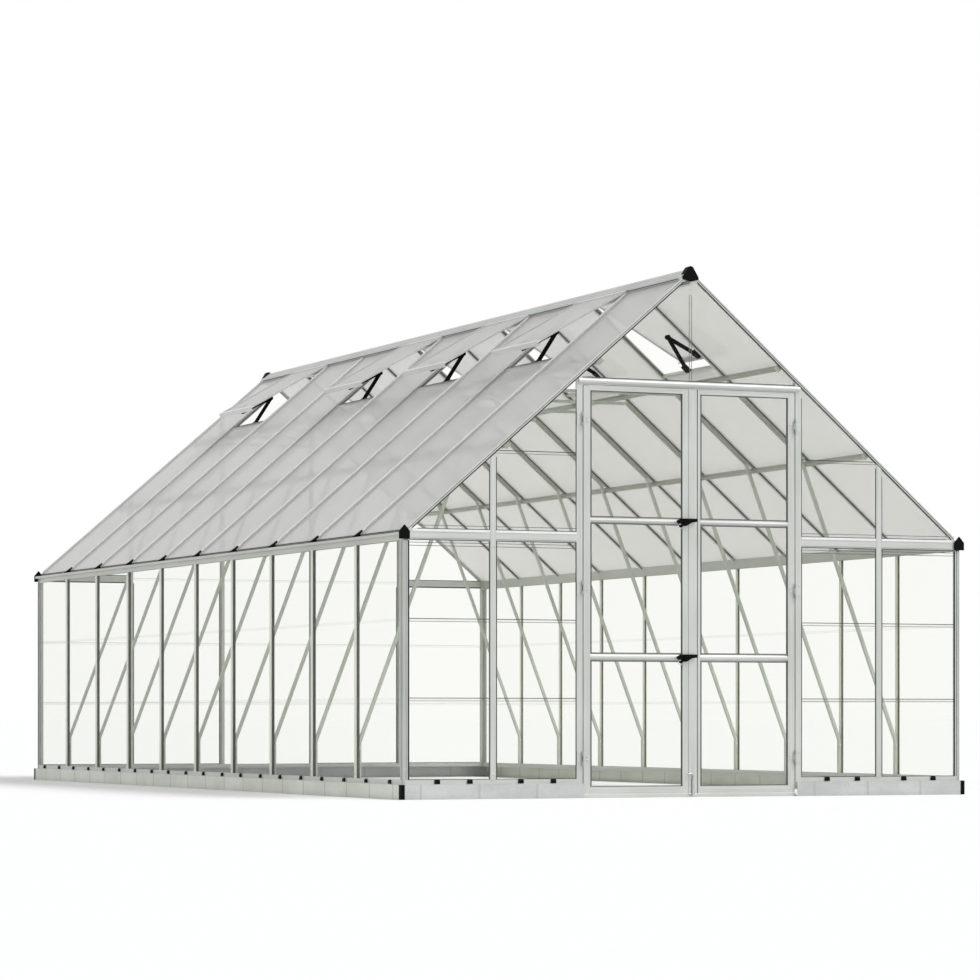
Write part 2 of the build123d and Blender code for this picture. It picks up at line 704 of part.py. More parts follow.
def level_bar(x0, x1, z0, z1):
    """Top or bottom bar of a leaf, hollow."""
    hollow = block(x0, x1, face_y + plate, leaf_back - plate, z0 + plate, z1 - plate)
    return block(x0, x1, face_y, leaf_back, z0, z1) - hollow


def cross_bar(x0, x1, z0, z1):
    """Middle bar of a leaf, with a rounded front."""
    half = (z1 - z0) / 2
    rounded = [(leaf_back - (leaf_deep * sin(t)), (z0 + z1) / 2 + half * cos(t)) for t in bead_turns[1:-1]]
    return along_x([(leaf_back, z0), (leaf_back, z1)] + rounded, x0, x1)


def leaf_bars(x0, x1):
    """The level bars of a leaf between its stiles."""
    bars = [level_bar(x0, x1, leaf_low, leaf_low + bottom_rail)]
    bars.append(level_bar(x0, x1, leaf_high - top_rail, leaf_high))
    return bars + [cross_bar(x0, x1, z0, z1) for z0, z1 in cross_rails]


def leaf_panes(x0, x1):
    """Three panes of a leaf, one above the other."""
    rows = [(leaf_low + bottom_rail, cross_rails[0][0]), (cross_rails[0][1], cross_rails[1][0])]
    rows.append((cross_rails[1][1], leaf_high - top_rail))
    mid = (face_y + leaf_back) / 2
    return [block(x0, x1, mid - sheet / 2, mid + sheet / 2, z0, z1) for z0, z1 in rows]


wide_stile = stile(*left_meet) + block(*astragal, face_y - astragal_proud, face_y, leaf_low, leaf_high)
hinge_stile = stile(leaf_edge - stile_wide, leaf_edge)
save("left_door_stiles", to_left([hinge_stile]) + [wide_stile])
save("right_door_stiles", [hinge_stile, stile(*right_meet)])
glass_edge = leaf_edge - stile_wide
save("left_door_rails", leaf_bars(-glass_edge, left_meet[0]))
save("right_door_rails", leaf_bars(right_meet[1], glass_edge))
save("left_door_panes", leaf_panes(-glass_edge, left_meet[0]))
save("right_door_panes", leaf_panes(right_meet[1], glass_edge))

# Hinges: knuckles and pin on the jamb, a bored barrel on the leaf
axis_x = jamb_in - hinge_side
axis_y = face_y - hinge_out
pins = []
barrels = []
for level in hinge_levels:
    low, high = level - hinge_half, level + hinge_half
    pin = rod_up(axis_x, axis_y, pin_radius, low, high)
    pin += block(jamb_in + plate, jamb_out - plate, face_y - plate, face_y, low, high)
    for z0, z1 in ((low, level - barrel_half - pin_play * 4), (level + barrel_half + pin_play * 4, high)):
        pin += knob_up(axis_x, axis_y, knuckle, z0, z1)
        pin += block(axis_x, jamb_in + knuckle, axis_y, face_y, z0, z1)
    pins.append(pin)
    z0, z1 = level - barrel_half, level + barrel_half
    barrel = knob_up(axis_x, axis_y, knuckle, z0, z1)
    barrel += block(leaf_edge - knuckle, axis_x, axis_y, face_y - plate, z0, z1)
    barrel += block(leaf_edge - flap_reach, leaf_edge, face_y - plate, face_y, z0, z1)
    barrel -= rod_up(axis_x, axis_y, pin_radius + pin_play, low, high)
    barrels.append(barrel)
save("hinge_pins", pins + to_left(pins))
save("right_hinge_barrels", barrels)
save("left_hinge_barrels", to_left(barrels))

# Latches that turn on studs of the left leaf
studs = []
for level in latch_levels:
    stud = rod_along(latch_at, level, stud_radius, face_y - latch_far - plate, face_y)
    stud += knob_along(latch_at, level, stud_radius + plate, face_y - latch_far - plate, face_y - latch_far)
    studs.append(stud)
save("latch_studs", studs)


def latch(level):
    """A deep lever that tapers to the right, with a boss at its pivot and a knob at the lower left."""
    near, far = face_y - latch_near, face_y - latch_far + pin_play * 2
    middle = (near + far) / 2
    shape = [(-latch_tail, stud_radius), (-2 * latch_boss, latch_boss), (latch_tip, latch_boss)]
    shape += [(latch_tip, 0), (2 * latch_boss, -stud_radius), (0, -latch_deep)]
    shape += [(-2 * latch_boss, -latch_deep), (-latch_tail, -stud_radius)]
    outline = [(latch_at + x, level + z) for x, z in shape]
    lever = across(outline, middle - stud_radius, middle + stud_radius)
    lever += knob_along(latch_at, level, latch_boss, far, near)
    knob_x, knob_z = latch_at - 2 * latch_boss, level - latch_deep
    lever += knob_along(knob_x, knob_z, latch_boss / 2, far, middle + stud_radius)
    return lever - rod_along(latch_at, level, stud_radius + pin_play, far - latch_far, near + latch_far)


save("lower_latch_lever", [latch(latch_levels[0])])
save("upper_latch_lever", [latch(latch_levels[1])])

# Drop bolt at the foot of the left leaf
bolt_y = face_y - bolt_radius - plate
bolt = knob_up(bolt_at, bolt_y, bolt_radius, bolt_low, bolt_high)
for share in guide_shares:
    guide = bolt_low + share * (bolt_high - bolt_low)
    wide = bolt_radius + plate
    bolt += block(bolt_at - wide, bolt_at + wide, bolt_y - wide, face_y, guide, guide + bolt_radius)
save("drop_bolt", [bolt])
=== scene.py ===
"""Looks of the long greenhouse: its finishes, its small fittings, the studio and the camera.

Metres throughout.
"""

from math import atan2, cos, pi, radians, sin

import bmesh
import bpy
from mathutils import Matrix, Vector


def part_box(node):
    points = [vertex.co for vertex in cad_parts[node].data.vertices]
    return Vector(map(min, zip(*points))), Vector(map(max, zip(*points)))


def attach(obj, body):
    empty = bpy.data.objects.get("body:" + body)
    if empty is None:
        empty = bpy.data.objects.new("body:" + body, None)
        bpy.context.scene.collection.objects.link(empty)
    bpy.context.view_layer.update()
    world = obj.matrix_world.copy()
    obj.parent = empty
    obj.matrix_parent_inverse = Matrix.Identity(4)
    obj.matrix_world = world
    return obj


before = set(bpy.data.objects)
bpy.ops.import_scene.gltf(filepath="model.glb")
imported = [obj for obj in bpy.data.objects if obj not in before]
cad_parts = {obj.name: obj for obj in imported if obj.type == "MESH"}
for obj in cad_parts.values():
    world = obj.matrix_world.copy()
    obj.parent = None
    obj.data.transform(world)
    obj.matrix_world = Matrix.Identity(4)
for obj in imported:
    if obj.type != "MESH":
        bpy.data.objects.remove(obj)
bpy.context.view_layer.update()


class Value:
    """One output of a shader node. Sums on it add Math nodes to its tree."""

    def __init__(self, tree, socket):
        self.tree = tree
        self.socket = socket

    def math(self, operation, first, second):
        return self.tree.node("ShaderNodeMath", {"operation": operation}, {0: first, 1: second})

    def __add__(self, other):
        return self.math("ADD", self, other)

    def __radd__(self, other):
        return self.math("ADD", other, self)

    def __sub__(self, other):
        return self.math("SUBTRACT", self, other)

    def __rsub__(self, other):
        return self.math("SUBTRACT", other, self)

    def __mul__(self, other):
        return self.math("MULTIPLY", self, other)

    def __rmul__(self, other):
        return self.math("MULTIPLY", other, self)

    def __pow__(self, other):
        return self.math("POWER", self, other)

    def __rpow__(self, other):
        return self.math("POWER", other, self)

    def larger(self, other):
        return self.math("MAXIMUM", self, other)


# Stretch of a noise that is alike in all directions
EVEN = (1, 1, 1)


class Finish:
    """The node tree of one material or of the world."""

    def __init__(self, name, owner=None):
        self.material = owner or bpy.data.materials.new(name)
        self.material.use_nodes = True
        self.tree = self.material.node_tree
        self.tree.nodes.clear()

    def node(self, kind, settings=None, sockets=None, out=0):
        """Adds a node with its settings, then its sockets, and gives one of its outputs."""
        made = self.tree.nodes.new(kind)
        for key, value in (settings or {}).items():
            setattr(made, key, value)
        for key, value in (sockets or {}).items():
            if isinstance(value, Value):
                self.tree.links.new(value.socket, made.inputs[key])
            else:
                made.inputs[key].default_value = value
        return Value(self, made.outputs[out]) if made.outputs else made

    def place(self, stretch=EVEN):
        """Position on the object, stretched along each axis."""
        at = self.node("ShaderNodeTexCoord", out="Object")
        return self.node("ShaderNodeVectorMath", {"operation": "MULTIPLY"}, {0: at, 1: stretch})

    def along(self, axis):
        """Position on the object along one axis."""
        at = self.node("ShaderNodeTexCoord", out="Object")
        return self.node("ShaderNodeSeparateXYZ", None, {0: at}, out=axis)

    def noise(self, stretch, scale, detail=3.0, rough=0.5):
        """Cloudy values from 0 to 1."""
        sockets = {"Vector": self.place(stretch), "Scale": scale, "Detail": detail, "Roughness": rough}
        return self.node("ShaderNodeTexNoise", None, sockets)

    def wave(self, value, period):
        """Values from -1 to 1 that come again at each period."""
        return self.node("ShaderNodeMath", {"operation": "SINE"}, {0: value * (2 * pi / period)})

    def spread(self, value, low, high, first=0.0, last=1.0):
        """Maps a stretch of values smoothly onto another."""
        sockets = {0: value, 1: low, 2: high, 3: first, 4: last}
        return self.node("ShaderNodeMapRange", {"interpolation_type": "SMOOTHSTEP"}, sockets)

    def gloss(self, cloud, smooth, rough):
        """Roughness that follows the middle range of a noise."""
        return self.spread(cloud, 0.3, 0.7, smooth, rough)

    def mix(self, factor, first, second):
        """Blend of two colours."""
        return self.node("ShaderNodeMix", {"data_type": "RGBA"}, {0: factor, 6: first, 7: second}, out=2)

    def bump(self, height, strength, distance):
        """Surface direction from a height."""
        sockets = {"Strength": strength, "Distance": distance, "Height": height}
        return self.node("ShaderNodeBump", None, sockets)

    def surface(self, sockets):
        """Principled surface."""
        return self.node("ShaderNodeBsdfPrincipled", None, sockets)

    def blend(self, factor, first, second):
        """Blend of two shaders."""
        return self.node("ShaderNodeMixShader", None, {0: factor, 1: first, 2: second})

    def seen(self):
        """1 where the camera sees the surface, straight, in a mirror or through glass."""
        kinds = ("Is Camera Ray", "Is Glossy Ray", "Is Transmission Ray")
        straight, mirrored, through = [self.node("ShaderNodeLightPath", out=kind) for kind in kinds]
        return straight.larger(mirrored).larger(through)

    def finish(self, shader):
        """Sends the shader to the output."""
        owner = "World" if isinstance(self.material, bpy.types.World) else "Material"
        self.node("ShaderNodeOutput" + owner, None, {"Surface": shader})
        return self.material


def rgb(red, green, blue):
    """Colour with full cover."""
    return (red, green, blue, 1.0)


def aluminium(name, stretch, pale, dark):
    """Drawn aluminium with faint die lines along the bar and a soft cloudy bloom."""
    look = Finish(name)
    lines = look.noise(stretch, scale=1.0, detail=4.0, rough=0.6)
    bloom = look.noise(EVEN, scale=3.1)
    colour = look.mix(look.spread(lines * 0.6 + bloom * 0.4, low=0.32, high=0.68), dark, pale)
    rough = look.gloss(lines, smooth=0.34, rough=0.5)
    normal = look.bump(lines, strength=0.12, distance=0.0004)
    sockets = {"Base Color": colour, "Metallic": 0.45, "Roughness": rough, "Normal": normal}
    return look.finish(look.surface(sockets))


def galvanised(name, axis, pale, dark):
    """Zinc-coated sheet with a fine spangle, faint joints along its run and a foot darkened by painted
    shade where it meets the ground.
    """
    joint_run, ground_shade_high = 0.30, 0.03
    ground_shade_tone = rgb(0.40, 0.42, 0.38)
    look = Finish(name)
    crystals = {"Vector": look.place(), "Scale": 95.0}
    cells = look.node("ShaderNodeTexVoronoi", {"feature": "F1"}, crystals, out="Color")
    grain = look.node("ShaderNodeRGBToBW", None, {0: cells})
    cloud = look.noise((1, 1, 2), scale=4.0, detail=4.0)
    colour = look.mix(look.spread(grain * 0.18 + cloud * 0.82, low=0.25, high=0.75), dark, pale)
    joint = look.spread(look.wave(look.along(axis), joint_run), low=0.985, high=0.9995)
    # Painted shade: the colour darkens over the lowest few centimetres, where the base meets the ground
    foot = look.spread(look.along("Z"), 0.0, ground_shade_high, first=0.25, last=0.0)
    colour = look.mix(joint * 0.5 + foot, colour, ground_shade_tone)
    rough = look.spread(grain, low=0.1, high=0.9, first=0.40, last=0.56)
    return look.finish(look.surface({"Base Color": colour, "Metallic": 0.4, "Roughness": rough}))


def dark_moulding(name, low, high, rough):
    """Black plastic or rubber with a fine leathery grain, also used for the dark and grey lines of painted
    shade.
    """
    look = Finish(name)
    grain = look.noise(EVEN, scale=700.0, detail=2.0)
    cloud = look.noise(EVEN, scale=9.0)
    colour = look.mix(cloud, rgb(low, low, low), rgb(high, high, high * 1.05))
    sockets = {"Base Color": colour, "Roughness": look.gloss(cloud, rough, rough + 0.14)}
    sockets.update({"Specular IOR Level": 0.06, "Normal": look.bump(grain, strength=0.2, distance=0.0003)})
    return look.finish(look.surface(sockets))


def zinc_plate():
    """Bright zinc plate on the screws, bolts, latch rings and drop bolt."""
    look = Finish("zinc_plate")
    cloud = look.noise(EVEN, scale=45.0, detail=4.0)
    colour = look.mix(cloud, rgb(0.50, 0.51, 0.51), rgb(0.66, 0.67, 0.67))
    rough = look.gloss(cloud, smooth=0.28, rough=0.42)
    return look.finish(look.surface({"Base Color": colour, "Metallic": 0.7, "Roughness": rough}))


def twin_wall():
    """Pale twin-wall roof sheet: it glows with the light behind it and shows its close ribs."""
    flute, half_run = 0.0105, 3.0
    look = Finish("twin_wall_sheet")
    rib = look.spread(look.wave(look.along("Y"), flute), low=0.55, high=0.95)
    cloud = look.noise(EVEN, scale=1.3)
    # Painted light: the sheet is made lighter towards the back
    run = look.spread(look.along("Y"), -half_run, half_run)
    base = look.mix(cloud * 0.4 + run * 0.6, rgb(0.73, 0.727, 0.745), rgb(0.865, 0.862, 0.875))
    colour = look.mix(rib * 0.35, base, rgb(0.60, 0.60, 0.61))
    face = look.surface({"Base Color": colour, "Roughness": look.gloss(cloud, smooth=0.28, rough=0.38)})
    glow = look.node("ShaderNodeBsdfTranslucent", None, {"Color": rgb(0.81, 0.80, 0.775)})
    clear = look.node("ShaderNodeBsdfTransparent", None, {"Color": rgb(0.95, 0.95, 0.94)})
    return look.finish(look.blend(0.33 - rib * 0.06, look.blend(0.40, face, glow), clear))


def clear_sheet(name, tint, milk, tone):
    """Clear sheet with a faint green cast, a gloss at grazing angles and a breath of haze."""
    look = Finish(name)
    haze = look.noise(EVEN, scale=1.7, detail=4.0)
    clear = look.node("ShaderNodeBsdfTransparent", None, {"Color": tint})
    colour = look.mix(haze, tone, rgb(0.95, 0.97, 0.93))
    skin = look.surface({"Base Color": colour, "Roughness": look.gloss(haze, smooth=0.03, rough=0.09)})
    edge = look.node("ShaderNodeLayerWeight", None, {"Blend": 0.5}, out="Facing")
    return look.finish(look.blend(edge ** 5.0 * 0.3 + haze * milk, clear, skin))


# Die lines lie close across a bar and are long along it
CLOSE, LONG = 260, 2.2
UPRIGHT = (CLOSE, CLOSE, LONG)
LENGTHWISE = (CLOSE, LONG, CLOSE)
CROSSWISE = (LONG, CLOSE, CLOSE)
SLOPING = (60, CLOSE, 60)
PALE = rgb(0.66, 0.68, 0.65)
DARK = rgb(0.54, 0.56, 0.52)

upright_bar = aluminium("aluminium_upright", UPRIGHT, PALE, DARK)
length_bar = aluminium("aluminium_lengthwise", LENGTHWISE, PALE, DARK)
cross_bar = aluminium("aluminium_crosswise", CROSSWISE, PALE, DARK)
slope_bar = aluminium("aluminium_slope", SLOPING, PALE, DARK)
brace_tube = aluminium("aluminium_tube", (90, 200, 30), rgb(0.60, 0.63, 0.57), rgb(0.49, 0.52, 0.455))
truss_tube = aluminium("aluminium_truss", (90, 30, 90), rgb(0.46, 0.48, 0.42), rgb(0.36, 0.38, 0.32))
eave_bar = aluminium("aluminium_eave", LENGTHWISE, rgb(0.59, 0.61, 0.56), rgb(0.48, 0.50, 0.45))
# One galvanised steel in two colours, painted light and shade: the side rails are made paler and the end
# rails darker to make up for how light falls on each face
side_zinc_painted_paler = galvanised("galvanised_side", "Y", rgb(0.83, 0.85, 0.78), rgb(0.68, 0.70, 0.63))
end_zinc_painted_darker = galvanised("galvanised_end", "X", rgb(0.63, 0.65, 0.64), rgb(0.50, 0.52, 0.51))
wall_bar = aluminium("aluminium_wall", UPRIGHT, rgb(0.84, 0.86, 0.77), rgb(0.72, 0.74, 0.64))
# A paler copy of the aluminium that paints a highlight on the rafter ribs and the rail beads
highlight_bar = aluminium("aluminium_painted_highlight", SLOPING, rgb(0.90, 0.91, 0.89), rgb(0.80, 0.81, 0.79))
roof_bar = aluminium("aluminium_roof", SLOPING, rgb(0.75, 0.75, 0.745), rgb(0.66, 0.66, 0.655))
black = dark_moulding("moulded_black", 0.002, 0.006, rough=0.5)
# Dark lines, partly glazing rubber and partly painted shade in gaps, along edges and under the sheet ends
# at the eaves
seal_and_shade_dark = dark_moulding("glazing_rubber_and_painted_shade", 0.045, 0.075, rough=0.6)
# Painted shade on the flanks of the wall posts
post_shade_dark = dark_moulding("post_flank_painted_shade", 0.085, 0.12, rough=0.6)
# Grey lines of painted shade in grooves, at steps and edges, and beside the rafter ribs as their shadow
grey_shade_dark = dark_moulding("grey_shade_paint", 0.15, 0.20, rough=0.6)
door_rubber = dark_moulding("door_seal", 0.12, 0.18, rough=0.6)
zinc = zinc_plate()
roofing = twin_wall()
glazing = clear_sheet("clear_sheet", rgb(0.989, 0.991, 0.981), milk=0.008, tone=rgb(0.86, 0.90, 0.84))
joint_strip = clear_sheet("clear_strip", rgb(0.968, 0.974, 0.960), milk=0.05, tone=rgb(0.78, 0.81, 0.76))

FINISHES = {
    upright_bar: ("corner_posts", "gable_studs", "door_jambs", "left_door_stiles", "right_door_stiles",
                  "hinge_pins", "left_hinge_barrels", "right_hinge_barrels"),
    wall_bar: ("wall_posts",),
    length_bar: ("side_sills", "ridge_beam"),
    eave_bar: ("eave_beams",),
    cross_bar: ("gable_rails", "gable_sills", "door_header", "door_threshold", "left_door_rails",
                "right_door_rails", "vent_sills"),
    slope_bar: ("edge_rafters", "rafters", "vent_stiles"),
    roof_bar: ("vent_rails",),
    brace_tube: ("collar_ties", "knee_braces", "brace_feet"),
    truss_tube: ("truss_tubes", "purlins"),
    side_zinc_painted_paler: ("base_side_rails",),
    end_zinc_painted_darker: ("base_front_rails", "base_back_rail"),
    black: ("base_corner_covers", "ridge_end_caps", "eave_corner_caps", "rafter_foot_clips",
            "lower_latch_lever", "upper_latch_lever", "latch_studs", "vent_lower_arms", "vent_upper_arms",
            "vent_stay_brackets"),
    zinc: ("drop_bolt",),
    roofing: ("left_roof_sheets", "right_roof_sheets", "vent_sheets"),
    glazing: ("wall_sheets", "front_gable_sheets", "back_gable_sheets", "left_door_panes",
              "right_door_panes"),
    joint_strip: ("wall_strips", "gable_strips"),
}
for material, nodes in FINISHES.items():
    for node in nodes:
        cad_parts[node].data.materials.clear()
        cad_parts[node].data.materials.append(material)


def solids(node):
    """Boxes of the separate solids of a node, as lowest and highest corners."""
    weld = 1e-6
    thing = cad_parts[node]
    mesh = bmesh.new()
    mesh.from_mesh(thing.data)
    bmesh.ops.remove_doubles(mesh, verts=mesh.verts, dist=weld)
    left = set(mesh.verts)
    boxes = []
    while left:
        rim = [left.pop()]
        group = list(rim)
        while rim:
            near = {edge.other_vert(vert) for vert in rim for edge in vert.link_edges} & left
            left -= near
            rim = list(near)
            group += rim
        points = [thing.matrix_world @ vert.co for vert in group]
        boxes.append([[pick(p[k] for p in points) for k in range(3)] for pick in (min, max)])
    mesh.free()
    return sorted(boxes)


def fitting(name, mesh, body, finish, smooth=False):
    """Turns a mesh into a named piece that moves with a body."""
    bmesh.ops.recalc_face_normals(mesh, faces=mesh.faces)
    data = bpy.data.meshes.new(name)
    mesh.to_mesh(data)
    mesh.free()
    for face in data.polygons:
        face.use_smooth = smooth
    data.materials.append(finish)
    piece = bpy.data.objects.new(name, data)
    bpy.context.collection.objects.link(piece)
    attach(piece, body)


# How far the edges of thin strips are eased
EASE = 0.0004


def bar(mesh, low, high, ease=EASE):
    """Adds a straight bar between two corners, with its edges eased."""
    size = [b - a for a, b in zip(low, high)]
    middle = [(a + b) / 2 for a, b in zip(low, high)]
    stretched = Matrix.Translation(middle) @ Matrix.Diagonal((*size, 1.0))
    made = bmesh.ops.create_cube(mesh, size=1.0, matrix=stretched)
    edges = list({edge for vert in made["verts"] for edge in vert.link_edges})
    bmesh.ops.bevel(mesh, geom=edges, offset=ease, segments=1, affect="EDGES")


def drawn(mesh, outline, length, place):
    """Adds an outline in y and z, drawn out along x, and set in its place."""
    ends = []
    for x in (-length / 2, length / 2):
        ends.append([mesh.verts.new(place @ Vector((x, y, z))) for y, z in outline])
    mesh.faces.new(list(reversed(ends[0])))
    mesh.faces.new(ends[1])
    for k in range(len(outline)):
        n = (k + 1) % len(outline)
        mesh.faces.new((ends[0][k], ends[0][n], ends[1][n], ends[1][k]))


def turned(mesh, profile, place, sides=12):
    """Adds a shape turned about z from pairs of radius and height, closed at both ends, in its place."""
    turns = [2 * pi * k / sides for k in range(sides)]
    rings = []
    for radius, height in profile:
        points = [Vector((radius * cos(t), radius * sin(t), height)) for t in turns]
        rings.append([mesh.verts.new(place @ point) for point in points])
    for low, high in zip(rings, rings[1:]):
        for k in range(sides):
            n = (k + 1) % sides
            mesh.faces.new((low[k], low[n], high[n], high[k]))
    mesh.faces.new(list(reversed(rings[0])))
    mesh.faces.new(rings[-1])


def seat(at, turn=0.0, tilt=0.0):
    """Place turned about the upright axis, after a tilt about x."""
    return Matrix.Translation(at) @ Matrix.Rotation(turn, 4, "Z") @ Matrix.Rotation(tilt, 4, "X")


def span(sign, near, far):
    """Two places on one side of the middle, the lower one first."""
    return sorted((sign * near, sign * far))


def sign_of(place):
    """Side of the middle that a place is on."""
    return 1 if place > 0 else -1


# A wall's outside is -y in its seat, turned to the front, the right, the back or the left
FRONT, RIGHT, BACK, LEFT = 0.0, pi / 2, pi, -pi / 2
FRONT_END, BACK_END = -1, 1
ENDS = SIDES = (-1, 1)

# Places that the fittings follow, read from the frame
post_boxes = solids("wall_posts")
post_lines = sorted({round((low[1] + high[1]) / 2, 4) for low, high in post_boxes})
bay = post_lines[1] - post_lines[0]
bay_edges = [post_lines[0] - bay] + post_lines + [post_lines[-1] + bay]
wall_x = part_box("side_sills")[1][0]
wall_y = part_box("gable_sills")[1][1]
sill_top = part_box("side_sills")[1][2]
base_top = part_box("base_side_rails")[1][2]
eave_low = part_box("eave_beams")[0][2]
sheet_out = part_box("wall_sheets")[1][0]
gable_out = -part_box("front_gable_sheets")[0][1]
stud_boxes = solids("gable_studs")
half_stud = (stud_boxes[0][1][0] - stud_boxes[0][0][0]) / 2
front_studs = sorted({round((low[0] + high[0]) / 2, 4) for low, high in stud_boxes if low[1] < 0})
back_studs = sorted({round((low[0] + high[0]) / 2, 4) for low, high in stud_boxes if low[1] > 0})
corner_in = -min(high[0] for low, high in solids("corner_posts") if low[0] < 0)
jamb_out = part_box("door_jambs")[1][0]
rail_low, rail_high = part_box("gable_rails")[0][2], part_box("gable_rails")[1][2]
header_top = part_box("door_header")[1][2]

# Black clips that hold the sheets down to the sills, two to each sheet
clip_long = 0.026
clip_lift = 0.003
clip_shape = [(0.0, 0.0), (-0.007, 0.0), (-0.007, 0.011), (-0.003, 0.019), (0.004, 0.019),
              (0.004, 0.0165), (0.0, 0.015)]
side_clip_shares = (0.25, 0.76)
gable_clip_shares = (0.33, 0.72)
clips = bmesh.new()
for start, end in zip(bay_edges, bay_edges[1:]):
    for share in side_clip_shares:
        at = start + share * (end - start)
        for side, turn in ((wall_x, RIGHT), (-wall_x, LEFT)):
            drawn(clips, clip_shape, clip_long, seat((side, at, base_top + clip_lift), turn))
front_spans = [(-corner_in, front_studs[0]), (front_studs[0], -jamb_out),
               (jamb_out, front_studs[1]), (front_studs[1], corner_in)]
back_marks = [-corner_in] + back_studs + [corner_in]
back_spans = list(zip(back_marks, back_marks[1:]))
for spans, face, turn in ((front_spans, -wall_y, FRONT), (back_spans, wall_y, BACK)):
    for start, end in spans:
        for share in gable_clip_shares:
            at = start + share * (end - start)
            drawn(clips, clip_shape, clip_long, seat((at, face, base_top + clip_lift), turn))
fitting("sill_clips", clips, "frame", black)

# Dark strips beside the wall posts, just inside the sheets, that paint shade on the flanks of the posts,
# and covers on the inner faces of the posts
sheet_thick = 0.004
shade_depths = {-1: 0.012, 1: 0.006}
shade_near, shade_far = 0.001, 0.003
cover_proud, cover_sunk = 0.001, 0.0004
cover_front, cover_rear = 0.010, 0.015
sheet_in = sheet_out - sheet_thick
half_face = (post_boxes[0][1][1] - post_boxes[0][0][1]) / 2
post_in = min(low[0] for low, high in post_boxes if low[0] > 0)
post_flank_shade = bmesh.new()
post_covers = bmesh.new()
for y in post_lines:
    edge_y = y - half_face
    for side in SIDES:
        x0, x1 = span(side, sheet_in - shade_depths[side], sheet_in)
        bar(post_flank_shade, (x0, edge_y + shade_near, sill_top), (x1, edge_y + shade_far, eave_low))
        x0, x1 = span(side, post_in - cover_proud, post_in + cover_sunk)
        bar(post_covers, (x0, y - cover_front, sill_top), (x1, y + cover_rear, eave_low))
fitting("post_flank_shade", post_flank_shade, "frame", post_shade_dark)
fitting("wall_post_covers", post_covers, "frame", wall_bar)

# How far the dark and grey lines stand out, seals and painted shade alike: most of them, and the finer
# ones
LINE_PROUD = 0.0016
FINE_PROUD = 0.0012
dark_seal_and_shade_lines = bmesh.new()
grey_shade_lines = bmesh.new()


def on_gable(mesh, end, x0, x1, z0, z1, proud=LINE_PROUD, face=gable_out):
    """Adds a thin strip on the outside of the front or the back gable."""
    y0, y1 = span(end, face, face + proud)
    bar(mesh, (min(x0, x1), y0, z0), (max(x0, x1), y1, z1))


def both_sides(mesh, end, x0, x1, z0, z1, proud=LINE_PROUD, face=gable_out):
    """Adds a strip and its mirror image."""
    on_gable(mesh, end, x0, x1, z0, z1, proud, face)
    on_gable(mesh, end, -x1, -x0, z0, z1, proud, face)


# Beside the posts, along the sills and on the corner posts
post_line, sill_line, corner_line = 0.005, 0.003, 0.0075
corner_groove = (0.0150, 0.0172)
stud_in, stud_out = front_studs[1] - half_stud, front_studs[1] + half_stud
front_marks = [(jamb_out, stud_in), (stud_out, corner_in)]
rear_edges = [x for mark in back_studs if mark > 0 for x in (mark - half_stud, mark + half_stud)]
rear_marks = [(rear_edges[1], rear_edges[2]), (rear_edges[3], corner_in)]
for end, spans in ((FRONT_END, front_marks), (BACK_END, rear_marks)):
    for x0, x1 in spans:
        both_sides(dark_seal_and_shade_lines, end, x0, x0 + post_line, sill_top, rail_low)
        both_sides(dark_seal_and_shade_lines, end, x0, x1, sill_top, sill_top + sill_line)
        if x1 < corner_in:
            both_sides(dark_seal_and_shade_lines, end, x1 - post_line, x1, sill_top, rail_low)
    x1 = corner_in + corner_line
    both_sides(dark_seal_and_shade_lines, end, corner_in, x1, sill_top, eave_low, LINE_PROUD, wall_y)
    x0, x1 = [corner_in + inset for inset in corner_groove]
    both_sides(grey_shade_lines, end, x0, x1, sill_top, eave_low, FINE_PROUD, wall_y)

# Above the rails of the front gable, beside the jambs and the studs, and over the door header
upper_line = 0.004
jamb_line_drop = 0.06
stud_in_top, stud_out_top = 1.625, 1.585
header_line_short = 0.035
both_sides(dark_seal_and_shade_lines, FRONT_END, jamb_out, jamb_out + upper_line, rail_high, header_top - jamb_line_drop)
both_sides(dark_seal_and_shade_lines, FRONT_END, stud_in - upper_line, stud_in, rail_high, stud_in_top)
both_sides(dark_seal_and_shade_lines, FRONT_END, stud_out, stud_out + upper_line, rail_high, stud_out_top)
header_x0, header_x1 = -jamb_out + header_line_short, jamb_out - header_line_short
on_gable(dark_seal_and_shade_lines, FRONT_END, header_x0, header_x1, header_top, header_top + upper_line)

# Along the rails of the front gable, with grey lines of painted shade above and below that give their
# drawn steps
above_line, below_line = 0.003, 0.004
above_step = (0.015, 0.018)
below_steps = ((0.016, 0.013), (0.031, 0.028))
rail_line_end = 1.435
for x0, x1 in front_marks:
    outer = min(x1, rail_line_end)
    both_sides(dark_seal_and_shade_lines, FRONT_END, x0, outer, rail_high, rail_high + above_line)
    both_sides(grey_shade_lines, FRONT_END, x0, outer, rail_high + above_step[0], rail_high + above_step[1])
    both_sides(dark_seal_and_shade_lines, FRONT_END, x0, x1, rail_low - below_line, rail_low)
    for far, near in below_steps:
        both_sides(grey_shade_lines, FRONT_END, x0, x1, rail_low - far, rail_low - near)

